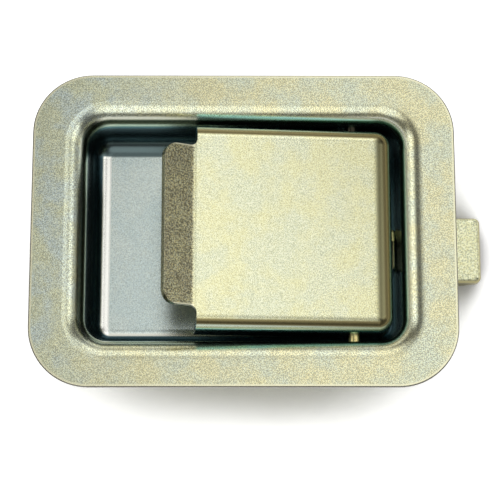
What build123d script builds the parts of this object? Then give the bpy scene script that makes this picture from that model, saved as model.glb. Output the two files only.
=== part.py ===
"""A flush paddle handle latch for a door or lid panel.

The latch lies on its back with its face up. X runs towards the bolt, Y runs up the face
as it is mounted, and Z points out of the face. Z = 0 is the back of the flange, which
seats on the panel, and the origin is the centre of the four mounting studs.
Lengths are millimetres and angles are degrees.
"""

from build123d import *
import os
from math import cos, pi, radians, sin, sqrt, tan

# Pan: one drawn sheet with a flat flange, a rolled mouth and a drafted well
FLANGE_LENGTH = 120.65
FLANGE_WIDTH = 90.5
FLANGE_CORNER_R = 17.0
FLANGE_EDGE_R = 0.35
PAN_SHEET = 1.5
WELL_LENGTH = 90.0
WELL_WIDTH = 63.0
WELL_CORNER_R = 6.4
WELL_DEPTH = 18.0
WELL_DRAFT = 4.0
MOUTH_ROLL_R = 6.0
FLOOR_R = 5.0
SLOT_RISE = 4.5
SLOT_TO_WALL = 1.0
SLOT_CORNER_R = 1.5

# Mounting studs, welded to the back of the flange
STUD_SPACING_X = 103.0
STUD_SPACING_Y = 74.5
STUD_D = 4.8
STUD_LENGTH = 15.9
STUD_TIP_CHAMFER = 0.6

# Pivot pin across the well
PIN_TO_WALL = 13.6
PIN_Z = -6.0
PIN_D = 3.175
PIN_HEAD_D = 5.8
PIN_HEAD_HEIGHT = 1.5
PIN_HEAD_STANDOFF = 0.5
PIN_TAIL = 1.6
PIN_TIP_CHAMFER = 0.3
RETAINER_D = 6.4
RETAINER_SHEET = 0.5
RETAINER_DISH = 0.7
RETAINER_SLOT = 0.6
RETAINER_SLOT_REACH = 2.3

# Paddle: one stamping with a drawn skirt on three sides, a finger lip and a tongue
PADDLE_SHEET = 1.9
PADDLE_SIDE_GAP = 2.1
PADDLE_TILT = 5.6
PIN_TO_PLATE_TOP = 7.5
PIN_TO_PLATE_RIGHT = 10.6
PIN_TO_LIP_BEND = 45.4
SKIRT_DEPTH = 11.4
PADDLE_EDGE_R = 4.0
PADDLE_CORNER_R = 4.6
LIP_WIDTH = 46.0
LIP_LENGTH = 8.5
LIP_ANGLE = 24.0
LIP_BEND_R = 4.0
LIP_CORNER_R = 4.0
LIP_ROOT_R = 2.0
TONGUE_WIDTH = 9.2
TONGUE_Y = -2.6
TONGUE_REACH = 20.0
TONGUE_CORNER_R = 1.5
TONGUE_ROOT_R = 2.0
PADDLE_TRAVEL = 30.0

# Bolt: a casting with a ramped nose, a raised tail and a window for the tongue
NOSE_WIDTH = 19.9
NOSE_FRONT_Z = -26.8
NOSE_PROTRUSION = 10.8
NOSE_RAMP_ANGLE = 26.0
NOSE_TIP_THICKNESS = 4.6
NOSE_CORNER_R = 1.8
BOLT_WIDTH = 26.0
BOLT_THICKNESS = 15.3
BOLT_TAIL_X = 8.0
BOLT_CORNER_R = 1.0
WINDOW_WIDTH = 10.6
WINDOW_RIGHT_X = 44.9

# Bolt housing: a folded channel with turned-up ends, riveted behind the well floor
HOUSING_SHEET = 1.5
HOUSING_BEND_R = 1.5
HOUSING_RIGHT_X = 47.0
HOUSING_LEFT_X = -15.5
LIP_RELIEF = 1.5
FOOT_SPRING_GAP = 0.6
FOOT_LENGTH = 12.0
FOOT_CORNER_R = 3.0
RIVET_X = (-6.0, 26.0)
RIVET_D = 3.2
RIVET_HEAD_D = 6.0
RIVET_HEAD_HEIGHT = 1.2
HEAD_RIM_SHARE = 0.3

# Guide rod and bolt spring, in the housing behind the bolt
ROD_D = 4.0
ROD_INSERTION = 8.0
ROD_COLLAR_D = 5.2
ROD_COLLAR_LENGTH = 1.0
ROD_HEAD_D = 6.5
ROD_HEAD_LENGTH = 1.2
ROD_TIP_CHAMFER = 0.5
BOLT_SPRING_WIRE = 1.0
BOLT_SPRING_MEAN_D = 7.4
BOLT_SPRING_TURNS = 6
END_TURN_CLIMB = 1.6

# Paddle springs, one each end of the pivot pin
PADDLE_SPRING_WIRE = 0.9
PADDLE_SPRING_MEAN_D = 4.6
PADDLE_SPRING_TURNS = 3
PADDLE_SPRING_PITCH = 1.45
PADDLE_SPRING_SIDE_GAP = 1.15
PADDLE_SPRING_LEG = 6.4
PADDLE_SPRING_LEG_RISE = 26.0
SPRING_LEG_HOLE_D = 1.8
SPRING_LEG_PAST_FLOOR = 0.8

# Clearances
SLIDE_CLEARANCE = 0.35
SEAT_CLEARANCE = 0.1
PIN_HOLE_CLEARANCE = 0.06
RIVET_HOLE_CLEARANCE = 0.05
TONGUE_GAP = 0.35
TONGUE_SIDE_GAP = 0.95
SLOT_CLEARANCE = 0.7
ROD_BORE_CLEARANCE = 0.3
SPRING_END_GAP = 0.3

# Working values: the steps of the travel that are tried, the part of a turn that counts as
# one stretch of wire when gaps are measured, and how close two values are to be the same
TRAVEL_STEPS = 30
STRETCH_SHARE = 0.7
SAME = 1e-4

# Heights and faces that follow from the sizes above
FLANGE_FRONT_Z = PAN_SHEET
FLOOR_FRONT_Z = FLANGE_FRONT_Z - WELL_DEPTH
FLOOR_BACK_Z = FLOOR_FRONT_Z - PAN_SHEET
ROLL_END_Z = FLANGE_FRONT_Z - MOUTH_ROLL_R
PIN_X = WELL_LENGTH / 2 - PIN_TO_WALL
WALL_THICKNESS = PAN_SHEET / cos(radians(WELL_DRAFT))
BOLT_FRONT_Z = FLOOR_BACK_Z - SLIDE_CLEARANCE
BOLT_BACK_Z = BOLT_FRONT_Z - BOLT_THICKNESS
CHANNEL_BACK_Z = BOLT_BACK_Z - SLIDE_CLEARANCE
HOUSING_BACK_Z = CHANNEL_BACK_Z - HOUSING_SHEET
CHANNEL_HALF_WIDTH = BOLT_WIDTH / 2 + SLIDE_CLEARANCE
SPRING_AXIS_Z = (FLOOR_BACK_Z + CHANNEL_BACK_Z) / 2
SHOULDER_X = HOUSING_RIGHT_X - HOUSING_SHEET - SEAT_CLEARANCE
NOSE_TIP_X = FLANGE_LENGTH / 2 + NOSE_PROTRUSION
ROD_SEAT_X = HOUSING_LEFT_X + HOUSING_SHEET
PADDLE_WIDTH = WELL_WIDTH - 2 * PADDLE_SIDE_GAP
SKIRT_INNER_Y = PADDLE_WIDTH / 2 - PADDLE_SHEET
PADDLE_SPRING_OUTER_Y = SKIRT_INNER_Y - PADDLE_SPRING_SIDE_GAP - PADDLE_SPRING_WIRE / 2
FOOT_START_Y = CHANNEL_HALF_WIDTH + HOUSING_SHEET + HOUSING_BEND_R
FOOT_END_Y = PADDLE_SPRING_OUTER_Y - PADDLE_SPRING_WIRE / 2 - FOOT_SPRING_GAP
RIVET_Y = (FOOT_START_Y + FOOT_END_Y) / 2 - HOUSING_BEND_R / 2


def wall_half_width(z):
    """Half the inside width of the well at height z, below the mouth roll."""
    return WELL_WIDTH / 2 + (z - ROLL_END_Z) * tan(radians(WELL_DRAFT))


def paddle_point(along, up, lift=0.0):
    """X and Z of a point of the paddle, given from the pin along and up from its plate."""
    turn = radians(PADDLE_TILT + lift)
    x = PIN_X + along * cos(turn) + up * sin(turn)
    z = PIN_Z - along * sin(turn) + up * cos(turn)
    return x, z


# The tongue's inner face, where it meets the bolt
TONGUE_INNER = PIN_TO_PLATE_RIGHT - PADDLE_SHEET
TONGUE_TIP_X, TONGUE_TIP_Z = paddle_point(TONGUE_INNER, -TONGUE_REACH)
WINDOW_LEFT_X = TONGUE_TIP_X - TONGUE_GAP
LIFTS = [PADDLE_TRAVEL * step / TRAVEL_STEPS for step in range(1, TRAVEL_STEPS + 1)]
BOLT_PER_RADIAN = max(
    (TONGUE_TIP_X - paddle_point(TONGUE_INNER, -TONGUE_REACH, lift)[0]) / radians(lift)
    for lift in LIFTS
)
BOLT_TRAVEL = BOLT_PER_RADIAN * radians(PADDLE_TRAVEL)


def rounded_block(length, width, radius, bottom, height, draft=0.0):
    """A block with rounded upright corners that widens upwards by its draft."""
    outline = Pos(0, 0, bottom) * RectangleRounded(length, width, radius)
    return extrude(outline, amount=height, taper=-draft)


def cylinder_x(diameter, start, end, y=0.0, z=0.0):
    """A round bar along X."""
    middle = Pos((start + end) / 2, y, z) * Rot(0, 90, 0)
    return middle * Cylinder(diameter / 2, end - start)


def cylinder_y(diameter, start, end, x=0.0, z=0.0):
    """A round bar along Y."""
    middle = Pos(x, (start + end) / 2, z) * Rot(90, 0, 0)
    return middle * Cylinder(diameter / 2, end - start)


def cylinder_z(diameter, start, end, x=0.0, y=0.0):
    """A round bar along Z."""
    return Pos(x, y, (start + end) / 2) * Cylinder(diameter / 2, end - start)


def block(x_from, x_to, y_from, y_to, z_from, z_to):
    """A plain box between two values on each axis."""
    middle = Pos((x_from + x_to) / 2, (y_from + y_to) / 2, (z_from + z_to) / 2)
    return middle * Box(x_to - x_from, y_to - y_from, z_to - z_from)


def edges_near_z(shape, z):
    """The edges that lie wholly in the level plane at z."""
    return [edge for edge in shape.edges() if abs(edge.bounding_box().max.Z - z) < SAME
            and abs(edge.bounding_box().min.Z - z) < SAME]


def domed_head(diameter, height):
    """A low dome that stands on the XY plane, with a short upright rim."""
    rim = height * HEAD_RIM_SHARE
    rise = height - rim
    dome_r = (diameter * diameter / 4 + rise * rise) / (2 * rise)
    dome = Pos(0, 0, height - dome_r) * Sphere(dome_r)
    return dome & cylinder_z(diameter, 0, height)


def make_pan():
    """The flange, the rolled mouth, the drafted walls and the floor with its slot."""
    drop = WELL_DEPTH - MOUTH_ROLL_R
    inset = drop * tan(radians(WELL_DRAFT))
    floor_length = WELL_LENGTH - 2 * inset
    floor_width = WELL_WIDTH - 2 * inset
    floor_corner = WELL_CORNER_R - inset

    back_drop = -FLOOR_BACK_Z
    back_grow = WALL_THICKNESS - PAN_SHEET * tan(radians(WELL_DRAFT))
    body = rounded_block(
        floor_length + 2 * back_grow,
        floor_width + 2 * back_grow,
        floor_corner + back_grow,
        FLOOR_BACK_Z,
        back_drop,
        WELL_DRAFT,
    )
    body = fillet(edges_near_z(body, FLOOR_BACK_Z), FLOOR_R + PAN_SHEET)
    flange = rounded_block(FLANGE_LENGTH, FLANGE_WIDTH, FLANGE_CORNER_R, 0, PAN_SHEET)
    flange = fillet(edges_near_z(flange, FLANGE_FRONT_Z), FLANGE_EDGE_R)
    pan = body + flange
    inside = [edge for edge in edges_near_z(pan, 0)
              if abs(edge.center().X) < FLANGE_LENGTH / 2 - MOUTH_ROLL_R
              and abs(edge.center().Y) < FLANGE_WIDTH / 2 - MOUTH_ROLL_R]
    pan = fillet(inside, MOUTH_ROLL_R - PAN_SHEET)

    well = rounded_block(
        floor_length, floor_width, floor_corner, FLOOR_FRONT_Z, WELL_DEPTH, WELL_DRAFT
    )
    well = fillet(edges_near_z(well, FLOOR_FRONT_Z), FLOOR_R)
    pan = pan - well
    mouth = [edge for edge in edges_near_z(pan, FLANGE_FRONT_Z)
             if abs(edge.center().X) < FLANGE_LENGTH / 2 - MOUTH_ROLL_R
             and abs(edge.center().Y) < FLANGE_WIDTH / 2 - MOUTH_ROLL_R]
    pan = fillet(mouth, MOUTH_ROLL_R)

    hole = PIN_D + 2 * PIN_HOLE_CLEARANCE
    pan -= cylinder_y(hole, -FLANGE_WIDTH / 2, FLANGE_WIDTH / 2, PIN_X, PIN_Z)
    pan -= slot_cutter()
    for x in RIVET_X:
        for side in (-1, 1):
            bore = RIVET_D + 2 * RIVET_HOLE_CLEARANCE
            pan -= cylinder_z(bore, FLOOR_BACK_Z, FLOOR_FRONT_Z, x, side * RIVET_Y)
    for side in (-1, 1):
        leg_x = PIN_X - PADDLE_SPRING_MEAN_D / 2
        leg_y = side * PADDLE_SPRING_OUTER_Y
        past_floor = FLOOR_FRONT_Z + PAN_SHEET
        pan -= cylinder_z(SPRING_LEG_HOLE_D, FLOOR_BACK_Z, past_floor, leg_x, leg_y)
    return pan


def slot_cutter():
    """The tongue's slot, punched from where the raised paddle puts it into the wall's foot."""
    turn = radians(PADDLE_TILT + PADDLE_TRAVEL)
    at_floor = (FLOOR_BACK_Z - PIN_Z + TONGUE_INNER * sin(turn)) / cos(turn)
    left = paddle_point(TONGUE_INNER, at_floor, PADDLE_TRAVEL)[0] - SLOT_CLEARANCE
    right = WELL_LENGTH / 2 - SLOT_TO_WALL
    half = TONGUE_WIDTH / 2 + TONGUE_SIDE_GAP + SLOT_CLEARANCE
    low = FLOOR_BACK_Z - PAN_SHEET
    near = TONGUE_Y - half
    far = TONGUE_Y + half
    cutter = block(left, right, near, far, low, FLOOR_FRONT_Z + SLOT_RISE)
    return fillet(cutter.edges().filter_by(Axis.Z), SLOT_CORNER_R)


def make_studs():
    """Four plain weld studs that stand on the flange's back."""
    studs = []
    for x in (-STUD_SPACING_X / 2, STUD_SPACING_X / 2):
        for y in (-STUD_SPACING_Y / 2, STUD_SPACING_Y / 2):
            shank = cylinder_z(STUD_D, -STUD_LENGTH, 0, x, y)
            studs.append(chamfer(edges_near_z(shank, -STUD_LENGTH), STUD_TIP_CHAMFER))
    return Compound(children=studs)


def pin_seat_y():
    """Where the pin's head and retainer stand, just off the outside of the well."""
    return wall_half_width(PIN_Z) + WALL_THICKNESS + PIN_HEAD_STANDOFF


def make_pin():
    """A headed pin with its head at the upper wall and a plain tail for the retainer."""
    seat = pin_seat_y()
    tail = -(seat + RETAINER_DISH + PIN_TAIL)
    shank = cylinder_y(PIN_D, tail, seat, PIN_X, PIN_Z)
    end = [edge for edge in shank.edges() if abs(edge.center().Y - tail) < SAME]
    shank = chamfer(end, PIN_TIP_CHAMFER)
    head = Pos(PIN_X, seat, PIN_Z) * Rot(-90, 0, 0) * domed_head(PIN_HEAD_D, PIN_HEAD_HEIGHT)
    return shank + head


def make_retainer():
    """A dished push-on washer, slotted so that its inner edge grips the pin."""
    inner = PIN_D / 2 + RIVET_HOLE_CLEARANCE
    outer = RETAINER_D / 2
    profile = Polyline(
        (inner, RETAINER_DISH),
        (outer, 0),
        (outer, RETAINER_SHEET),
        (inner, RETAINER_DISH + RETAINER_SHEET),
        close=True,
    )
    washer = revolve(Plane.XZ * make_face(profile), axis=Axis.Z)
    tall = 3 * (RETAINER_DISH + RETAINER_SHEET)
    for turn in (0, 90):
        washer -= Rot(0, 0, turn) * Box(2 * RETAINER_SLOT_REACH, RETAINER_SLOT, tall)
    return Pos(PIN_X, -pin_seat_y(), PIN_Z) * Rot(90, 0, 0) * washer


def paddle_place():
    """The paddle's place at rest: turned about the pin by its tilt."""
    return Pos(PIN_X, 0, PIN_Z) * Rot(0, PADDLE_TILT, 0)


def drawn_plate():
    """The plate with its drawn skirts, open at the lip end and at the back."""
    reach = PIN_TO_PLATE_RIGHT + PIN_TO_LIP_BEND
    bottom = PIN_TO_PLATE_TOP - SKIRT_DEPTH
    spare = 2 * PADDLE_CORNER_R

    def shell(inset):
        length = reach + spare - inset
        width = PADDLE_WIDTH - 2 * inset
        centre = PIN_TO_PLATE_RIGHT - inset - length / 2
        outline = Pos(centre, 0, bottom) * RectangleRounded(
            length, width, PADDLE_CORNER_R - inset
        )
        solid = extrude(outline, amount=SKIRT_DEPTH - inset)
        return fillet(
            edges_near_z(solid, PIN_TO_PLATE_TOP - inset), PADDLE_EDGE_R - inset
        )

    plate = shell(0) - shell(PADDLE_SHEET)
    keep = block(-PIN_TO_LIP_BEND, reach, -PADDLE_WIDTH, PADDLE_WIDTH, -reach, reach)
    return plate & keep


def finger_lip():
    """The lip that is bent up from the plate's free end for the fingers."""
    top = PIN_TO_PLATE_TOP
    low = top - PADDLE_SHEET
    bend = radians(LIP_ANGLE)
    centre = (-PIN_TO_LIP_BEND, top + LIP_BEND_R)
    outer_r = LIP_BEND_R + PADDLE_SHEET

    def on_bend(radius, angle):
        return centre[0] - radius * sin(angle), centre[1] - radius * cos(angle)

    def beyond(point):
        return point[0] - LIP_LENGTH * cos(bend), point[1] + LIP_LENGTH * sin(bend)

    top_end = on_bend(LIP_BEND_R, bend)
    low_end = on_bend(outer_r, bend)
    profile = make_face([
        ThreePointArc((centre[0], top), on_bend(LIP_BEND_R, bend / 2), top_end),
        Line(top_end, beyond(top_end)),
        Line(beyond(top_end), beyond(low_end)),
        Line(beyond(low_end), low_end),
        ThreePointArc(low_end, on_bend(outer_r, bend / 2), (centre[0], low)),
        Line((centre[0], low), (centre[0], top)),
    ])
    lip = extrude(Plane.XZ * profile, amount=PADDLE_WIDTH / 2, both=True)

    half = LIP_WIDTH / 2
    left = -(PIN_TO_LIP_BEND + LIP_BEND_R + LIP_LENGTH + PADDLE_SHEET)
    root = -PIN_TO_LIP_BEND
    blank = Pos((left + root) / 2, 0) * Rectangle(root - left, LIP_WIDTH)
    for side in (-1, 1):
        corner = Pos(root - LIP_ROOT_R / 2, side * (half + LIP_ROOT_R / 2))
        relief = Pos(root - LIP_ROOT_R, side * (half + LIP_ROOT_R)) * Circle(LIP_ROOT_R)
        blank += corner * Rectangle(LIP_ROOT_R, LIP_ROOT_R) - relief
    lip = lip & extrude(blank, amount=top + LIP_LENGTH, both=True)
    ends = lip.edges().filter_by(
        lambda edge: edge.center().X < root - LIP_LENGTH
        and abs(abs(edge.center().Y) - half) < SAME
        and abs(edge.length - PADDLE_SHEET) < SAME
    )
    return fillet(ends, LIP_CORNER_R)


def tongue():
    """The tongue that hangs from the right skirt, a little below its middle, to the bolt."""
    low = PIN_TO_PLATE_TOP - SKIRT_DEPTH
    half = TONGUE_WIDTH / 2
    middle = (low - TONGUE_REACH) / 2
    blank = Pos(0, middle) * Rectangle(TONGUE_WIDTH, TONGUE_REACH + low)
    blank = fillet(blank.vertices().group_by(Axis.Y)[0], TONGUE_CORNER_R)
    for side in (-1, 1):
        corner = Pos(side * (half + TONGUE_ROOT_R / 2), low - TONGUE_ROOT_R / 2)
        relief = Pos(side * (half + TONGUE_ROOT_R), low - TONGUE_ROOT_R) * Circle(TONGUE_ROOT_R)
        blank += corner * Rectangle(TONGUE_ROOT_R, TONGUE_ROOT_R) - relief
    upright = Plane(origin=(TONGUE_INNER, TONGUE_Y, 0), x_dir=(0, 1, 0), z_dir=(1, 0, 0))
    return extrude(upright * blank, amount=PADDLE_SHEET)


def make_paddle():
    """The whole paddle, drilled for the pin and turned to its place at rest."""
    paddle = drawn_plate() + finger_lip() + tongue()
    hole = PIN_D + 2 * PIN_HOLE_CLEARANCE
    paddle -= cylinder_y(hole, -PADDLE_WIDTH, PADDLE_WIDTH)
    return paddle_place() * paddle


def bolt_envelope():
    """A prism with the bolt body's rounded back edges and rounded ends."""
    middle = (BOLT_FRONT_Z + BOLT_BACK_Z) / 2
    face = Pos(0, middle) * Rectangle(BOLT_WIDTH, BOLT_THICKNESS)
    face = fillet(face.vertices().group_by(Axis.Y)[0], HOUSING_BEND_R)
    face = fillet(face.vertices().group_by(Axis.Y)[-1], BOLT_CORNER_R)
    across = Plane(origin=(BOLT_TAIL_X, 0, 0), x_dir=(0, 1, 0), z_dir=(1, 0, 0))
    prism = extrude(across * face, amount=SHOULDER_X - BOLT_TAIL_X)
    length = SHOULDER_X - BOLT_TAIL_X
    plan = rounded_block(length, BOLT_WIDTH, BOLT_CORNER_R, BOLT_BACK_Z, BOLT_THICKNESS)
    return prism & (Pos(BOLT_TAIL_X + length / 2, 0, 0) * plan)


def make_bolt():
    """The bolt at rest, thrown out until its shoulders stop on the housing."""
    ramp_run = (NOSE_FRONT_Z - BOLT_BACK_Z - NOSE_TIP_THICKNESS) / tan(radians(NOSE_RAMP_ANGLE))
    nose_side = Polyline(
        (BOLT_TAIL_X, BOLT_BACK_Z),
        (NOSE_TIP_X - ramp_run, BOLT_BACK_Z),
        (NOSE_TIP_X, NOSE_FRONT_Z - NOSE_TIP_THICKNESS),
        (NOSE_TIP_X, NOSE_FRONT_Z),
        (BOLT_TAIL_X, NOSE_FRONT_Z),
        close=True,
    )
    nose = extrude(Plane.XZ * make_face(nose_side), amount=NOSE_WIDTH / 2, both=True)
    outside = nose.edges().filter_by(
        lambda edge: edge.bounding_box().max.X > SHOULDER_X + BOLT_CORNER_R
        and edge.bounding_box().max.Z > BOLT_BACK_Z + NOSE_CORNER_R
    )
    nose = fillet(outside, NOSE_CORNER_R)
    half = BOLT_WIDTH / 2
    slide = block(BOLT_TAIL_X, SHOULDER_X, -half, half, BOLT_BACK_Z, NOSE_FRONT_Z)
    heel = slide.edges().filter_by(Axis.Y).group_by(Axis.Z)[0].sort_by(Axis.X)[-1]
    slide = chamfer(heel, HOUSING_BEND_R)
    tail = block(BOLT_TAIL_X, WINDOW_LEFT_X, -half, half, BOLT_BACK_Z, BOLT_FRONT_Z)
    body = (slide + tail) & bolt_envelope()
    bolt = body + nose
    near = TONGUE_Y - WINDOW_WIDTH / 2
    far = TONGUE_Y + WINDOW_WIDTH / 2
    bolt -= block(WINDOW_LEFT_X, WINDOW_RIGHT_X, near, far, BOLT_BACK_Z, BOLT_FRONT_Z)
    bore = ROD_D + 2 * ROD_BORE_CLEARANCE
    depth = ROD_INSERTION + BOLT_TRAVEL + SLIDE_CLEARANCE + ROD_BORE_CLEARANCE
    bolt -= cylinder_x(bore, BOLT_TAIL_X, BOLT_TAIL_X + depth, 0, SPRING_AXIS_Z)
    return bolt


def make_housing():
    """The channel, its four feet and its two turned-up ends."""
    inner = CHANNEL_HALF_WIDTH
    outer = inner + HOUSING_SHEET
    foot = FOOT_END_Y
    bend = HOUSING_BEND_R
    outer_bend = HOUSING_BEND_R + HOUSING_SHEET
    foot_low = FLOOR_BACK_Z - HOUSING_SHEET

    section = make_face(Polyline(
        (-foot, FLOOR_BACK_Z),
        (-inner, FLOOR_BACK_Z),
        (-inner, CHANNEL_BACK_Z),
        (inner, CHANNEL_BACK_Z),
        (inner, FLOOR_BACK_Z),
        (foot, FLOOR_BACK_Z),
        (foot, foot_low),
        (outer, foot_low),
        (outer, HOUSING_BACK_Z),
        (-outer, HOUSING_BACK_Z),
        (-outer, foot_low),
        (-foot, foot_low),
        close=True,
    ))

    def corners(points):
        return [vertex for vertex in section.vertices()
                if any(abs(abs(vertex.X) - y) < SAME and abs(vertex.Y - z) < SAME
                       for y, z in points)]

    section = fillet(corners([(inner, FLOOR_BACK_Z), (outer, HOUSING_BACK_Z)]), outer_bend)
    section = fillet(corners([(inner, CHANNEL_BACK_Z), (outer, foot_low)]), bend)
    wall_left = HOUSING_LEFT_X + HOUSING_SHEET + LIP_RELIEF
    wall_right = HOUSING_RIGHT_X - HOUSING_SHEET - LIP_RELIEF
    across = Plane(origin=(wall_left, 0, 0), x_dir=(0, 1, 0), z_dir=(1, 0, 0))
    channel = extrude(across * section, amount=wall_right - wall_left)

    side_view = make_face(Polyline(
        (HOUSING_LEFT_X, FLOOR_BACK_Z - SLIDE_CLEARANCE),
        (ROD_SEAT_X, FLOOR_BACK_Z - SLIDE_CLEARANCE),
        (ROD_SEAT_X, CHANNEL_BACK_Z),
        (HOUSING_RIGHT_X - HOUSING_SHEET, CHANNEL_BACK_Z),
        (HOUSING_RIGHT_X - HOUSING_SHEET, FLOOR_BACK_Z - SLIDE_CLEARANCE),
        (HOUSING_RIGHT_X, FLOOR_BACK_Z - SLIDE_CLEARANCE),
        (HOUSING_RIGHT_X, HOUSING_BACK_Z),
        (HOUSING_LEFT_X, HOUSING_BACK_Z),
        close=True,
    ))
    backs = [vertex for vertex in side_view.vertices() if abs(vertex.Y - HOUSING_BACK_Z) < SAME]
    side_view = fillet(backs, outer_bend)
    fronts = [vertex for vertex in side_view.vertices() if abs(vertex.Y - CHANNEL_BACK_Z) < SAME]
    side_view = fillet(fronts, bend)
    ends_half = inner - bend
    ends = extrude(Plane.XZ * side_view, amount=ends_half, both=True)
    housing = channel + ends

    nose_half = NOSE_WIDTH / 2 + SLIDE_CLEARANCE
    inside_right = HOUSING_RIGHT_X - outer_bend - SEAT_CLEARANCE
    housing -= block(inside_right, HOUSING_RIGHT_X, -nose_half, nose_half,
                     CHANNEL_BACK_Z, NOSE_FRONT_Z + SLIDE_CLEARANCE)
    rod_hole = ROD_D + 2 * RIVET_HOLE_CLEARANCE
    housing -= cylinder_x(rod_hole, HOUSING_LEFT_X, ROD_SEAT_X, 0, SPRING_AXIS_Z)

    half_foot = FOOT_LENGTH / 2
    gaps = [
        (wall_left - HOUSING_SHEET, RIVET_X[0] - half_foot),
        (RIVET_X[0] + half_foot, RIVET_X[1] - half_foot),
        (RIVET_X[1] + half_foot, wall_right + HOUSING_SHEET),
    ]
    for start, end in gaps:
        for side in (-1, 1):
            near, far = sorted((side * outer, side * (foot + HOUSING_SHEET)))
            housing -= block(start, end, near, far, HOUSING_BACK_Z, FLOOR_BACK_Z)
    toes = housing.edges().filter_by(Axis.Z).filter_by(
        lambda edge: abs(abs(edge.center().Y) - foot) < SAME
    )
    housing = fillet(toes, FOOT_CORNER_R)
    for x in RIVET_X:
        for side in (-1, 1):
            bore = RIVET_D + 2 * RIVET_HOLE_CLEARANCE
            housing -= cylinder_z(bore, foot_low, FLOOR_BACK_Z, x, side * RIVET_Y)
    return housing


def make_rivets():
    """Four rivets that hold the housing's feet against the back of the floor."""
    rivets = []
    foot_low = FLOOR_BACK_Z - HOUSING_SHEET
    for x in RIVET_X:
        for side in (-1, 1):
            y = side * RIVET_Y
            head = domed_head(RIVET_HEAD_D, RIVET_HEAD_HEIGHT)
            front = Pos(x, y, FLOOR_FRONT_Z) * head
            back = Pos(x, y, foot_low) * Rot(180, 0, 0) * head
            rivets.append(front + cylinder_z(RIVET_D, foot_low, FLOOR_FRONT_Z, x, y) + back)
    return Compound(children=rivets)


def make_rod():
    """The spring's guide rod, staked in the housing's left end."""
    z = SPRING_AXIS_Z
    head = cylinder_x(ROD_HEAD_D, HOUSING_LEFT_X - ROD_HEAD_LENGTH, HOUSING_LEFT_X, 0, z)
    collar = cylinder_x(ROD_COLLAR_D, ROD_SEAT_X, ROD_SEAT_X + ROD_COLLAR_LENGTH, 0, z)
    shank = cylinder_x(ROD_D, HOUSING_LEFT_X, BOLT_TAIL_X + ROD_INSERTION, 0, z)
    tip = [edge for edge in shank.edges()
           if abs(edge.center().X - BOLT_TAIL_X - ROD_INSERTION) < SAME]
    return head + collar + chamfer(tip, ROD_TIP_CHAMFER)


def biarc(start, start_way, end, end_way):
    """Two arcs that join two points and are tangent to both ways."""
    span = end - start
    both = start_way + end_way
    a = both.dot(both) - 4
    b = -2 * span.dot(both)
    c = span.dot(span)
    reach = (-b - sqrt(b * b - 4 * a * c)) / (2 * a)
    first = start + start_way * reach
    last = end - end_way * reach
    joint = (first + last) * 0.5
    joint_way = (last - first).normalized()
    return [
        Edge.make_tangent_arc(start, start_way, joint),
        Edge.make_tangent_arc(joint, joint_way, end),
    ]


def coil_path(radius, stations, lead_in, lead_out):
    """A coil about Z through stations of (quarter turns, height, climb per radian).

    The wire runs straight for lead_in before the first station and lead_out after the last.
    """
    points, ways = [], []
    for quarter, height, climb in stations:
        angle = quarter * pi / 2
        points.append(Vector(radius * cos(angle), radius * sin(angle), height))
        ways.append(Vector(-radius * sin(angle), radius * cos(angle), climb).normalized())
    edges = []
    if lead_in > 0:
        edges.append(Edge.make_line(points[0] - ways[0] * lead_in, points[0]))
    for here in range(len(points) - 1):
        edges += biarc(points[here], ways[here], points[here + 1], ways[here + 1])
    if lead_out > 0:
        edges.append(Edge.make_line(points[-1], points[-1] + ways[-1] * lead_out))
    return Wire(edges)


def wire_along(path, diameter):
    """A round wire swept along a path."""
    section = Plane(origin=path @ 0, z_dir=path % 0) * Circle(diameter / 2)
    return sweep(section, path=path)


def least_gap(path, diameter, turn_length):
    """The least gap between turns of a wire, measured on points along its middle."""
    count = int(path.length)
    spots = [path @ (step / count) for step in range(count + 1)]
    apart = int(count * turn_length / path.length * STRETCH_SHARE)
    least = min(
        (spots[a] - spots[b]).length
        for a in range(len(spots))
        for b in range(a + apart, len(spots))
    )
    return least - diameter


def make_bolt_spring():
    """The compression spring round the guide rod, with a flat turn at each end."""
    wire = BOLT_SPRING_WIRE
    radius = BOLT_SPRING_MEAN_D / 2
    room = BOLT_TAIL_X - ROD_SEAT_X - 2 * SPRING_END_GAP - wire
    end_climb = wire * END_TURN_CLIMB
    active = room - 2 * end_climb
    stations = [(0, 0.0, 0.0)]
    for quarter in range(1, 5):
        stations.append((quarter, end_climb * quarter / 4, end_climb / (2 * pi)))
    pitch = active / BOLT_SPRING_TURNS
    for quarter in range(1, 4 * BOLT_SPRING_TURNS + 1):
        stations.append((4 + quarter, end_climb + pitch * quarter / 4, pitch / (2 * pi)))
    last = 4 + 4 * BOLT_SPRING_TURNS
    for quarter in range(1, 5):
        climb = 0.0 if quarter == 4 else end_climb / (2 * pi)
        height = end_climb + active + end_climb * quarter / 4
        stations.append((last + quarter, height, climb))
    path = coil_path(radius, stations, wire, wire)
    print("bolt_spring least gap between turns, mm:",
          round(least_gap(path, wire, 2 * pi * radius), 3))
    start = ROD_SEAT_X + SPRING_END_GAP + wire / 2
    return Pos(start, 0, SPRING_AXIS_Z) * Rot(0, 90, 0) * wire_along(path, wire)


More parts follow.
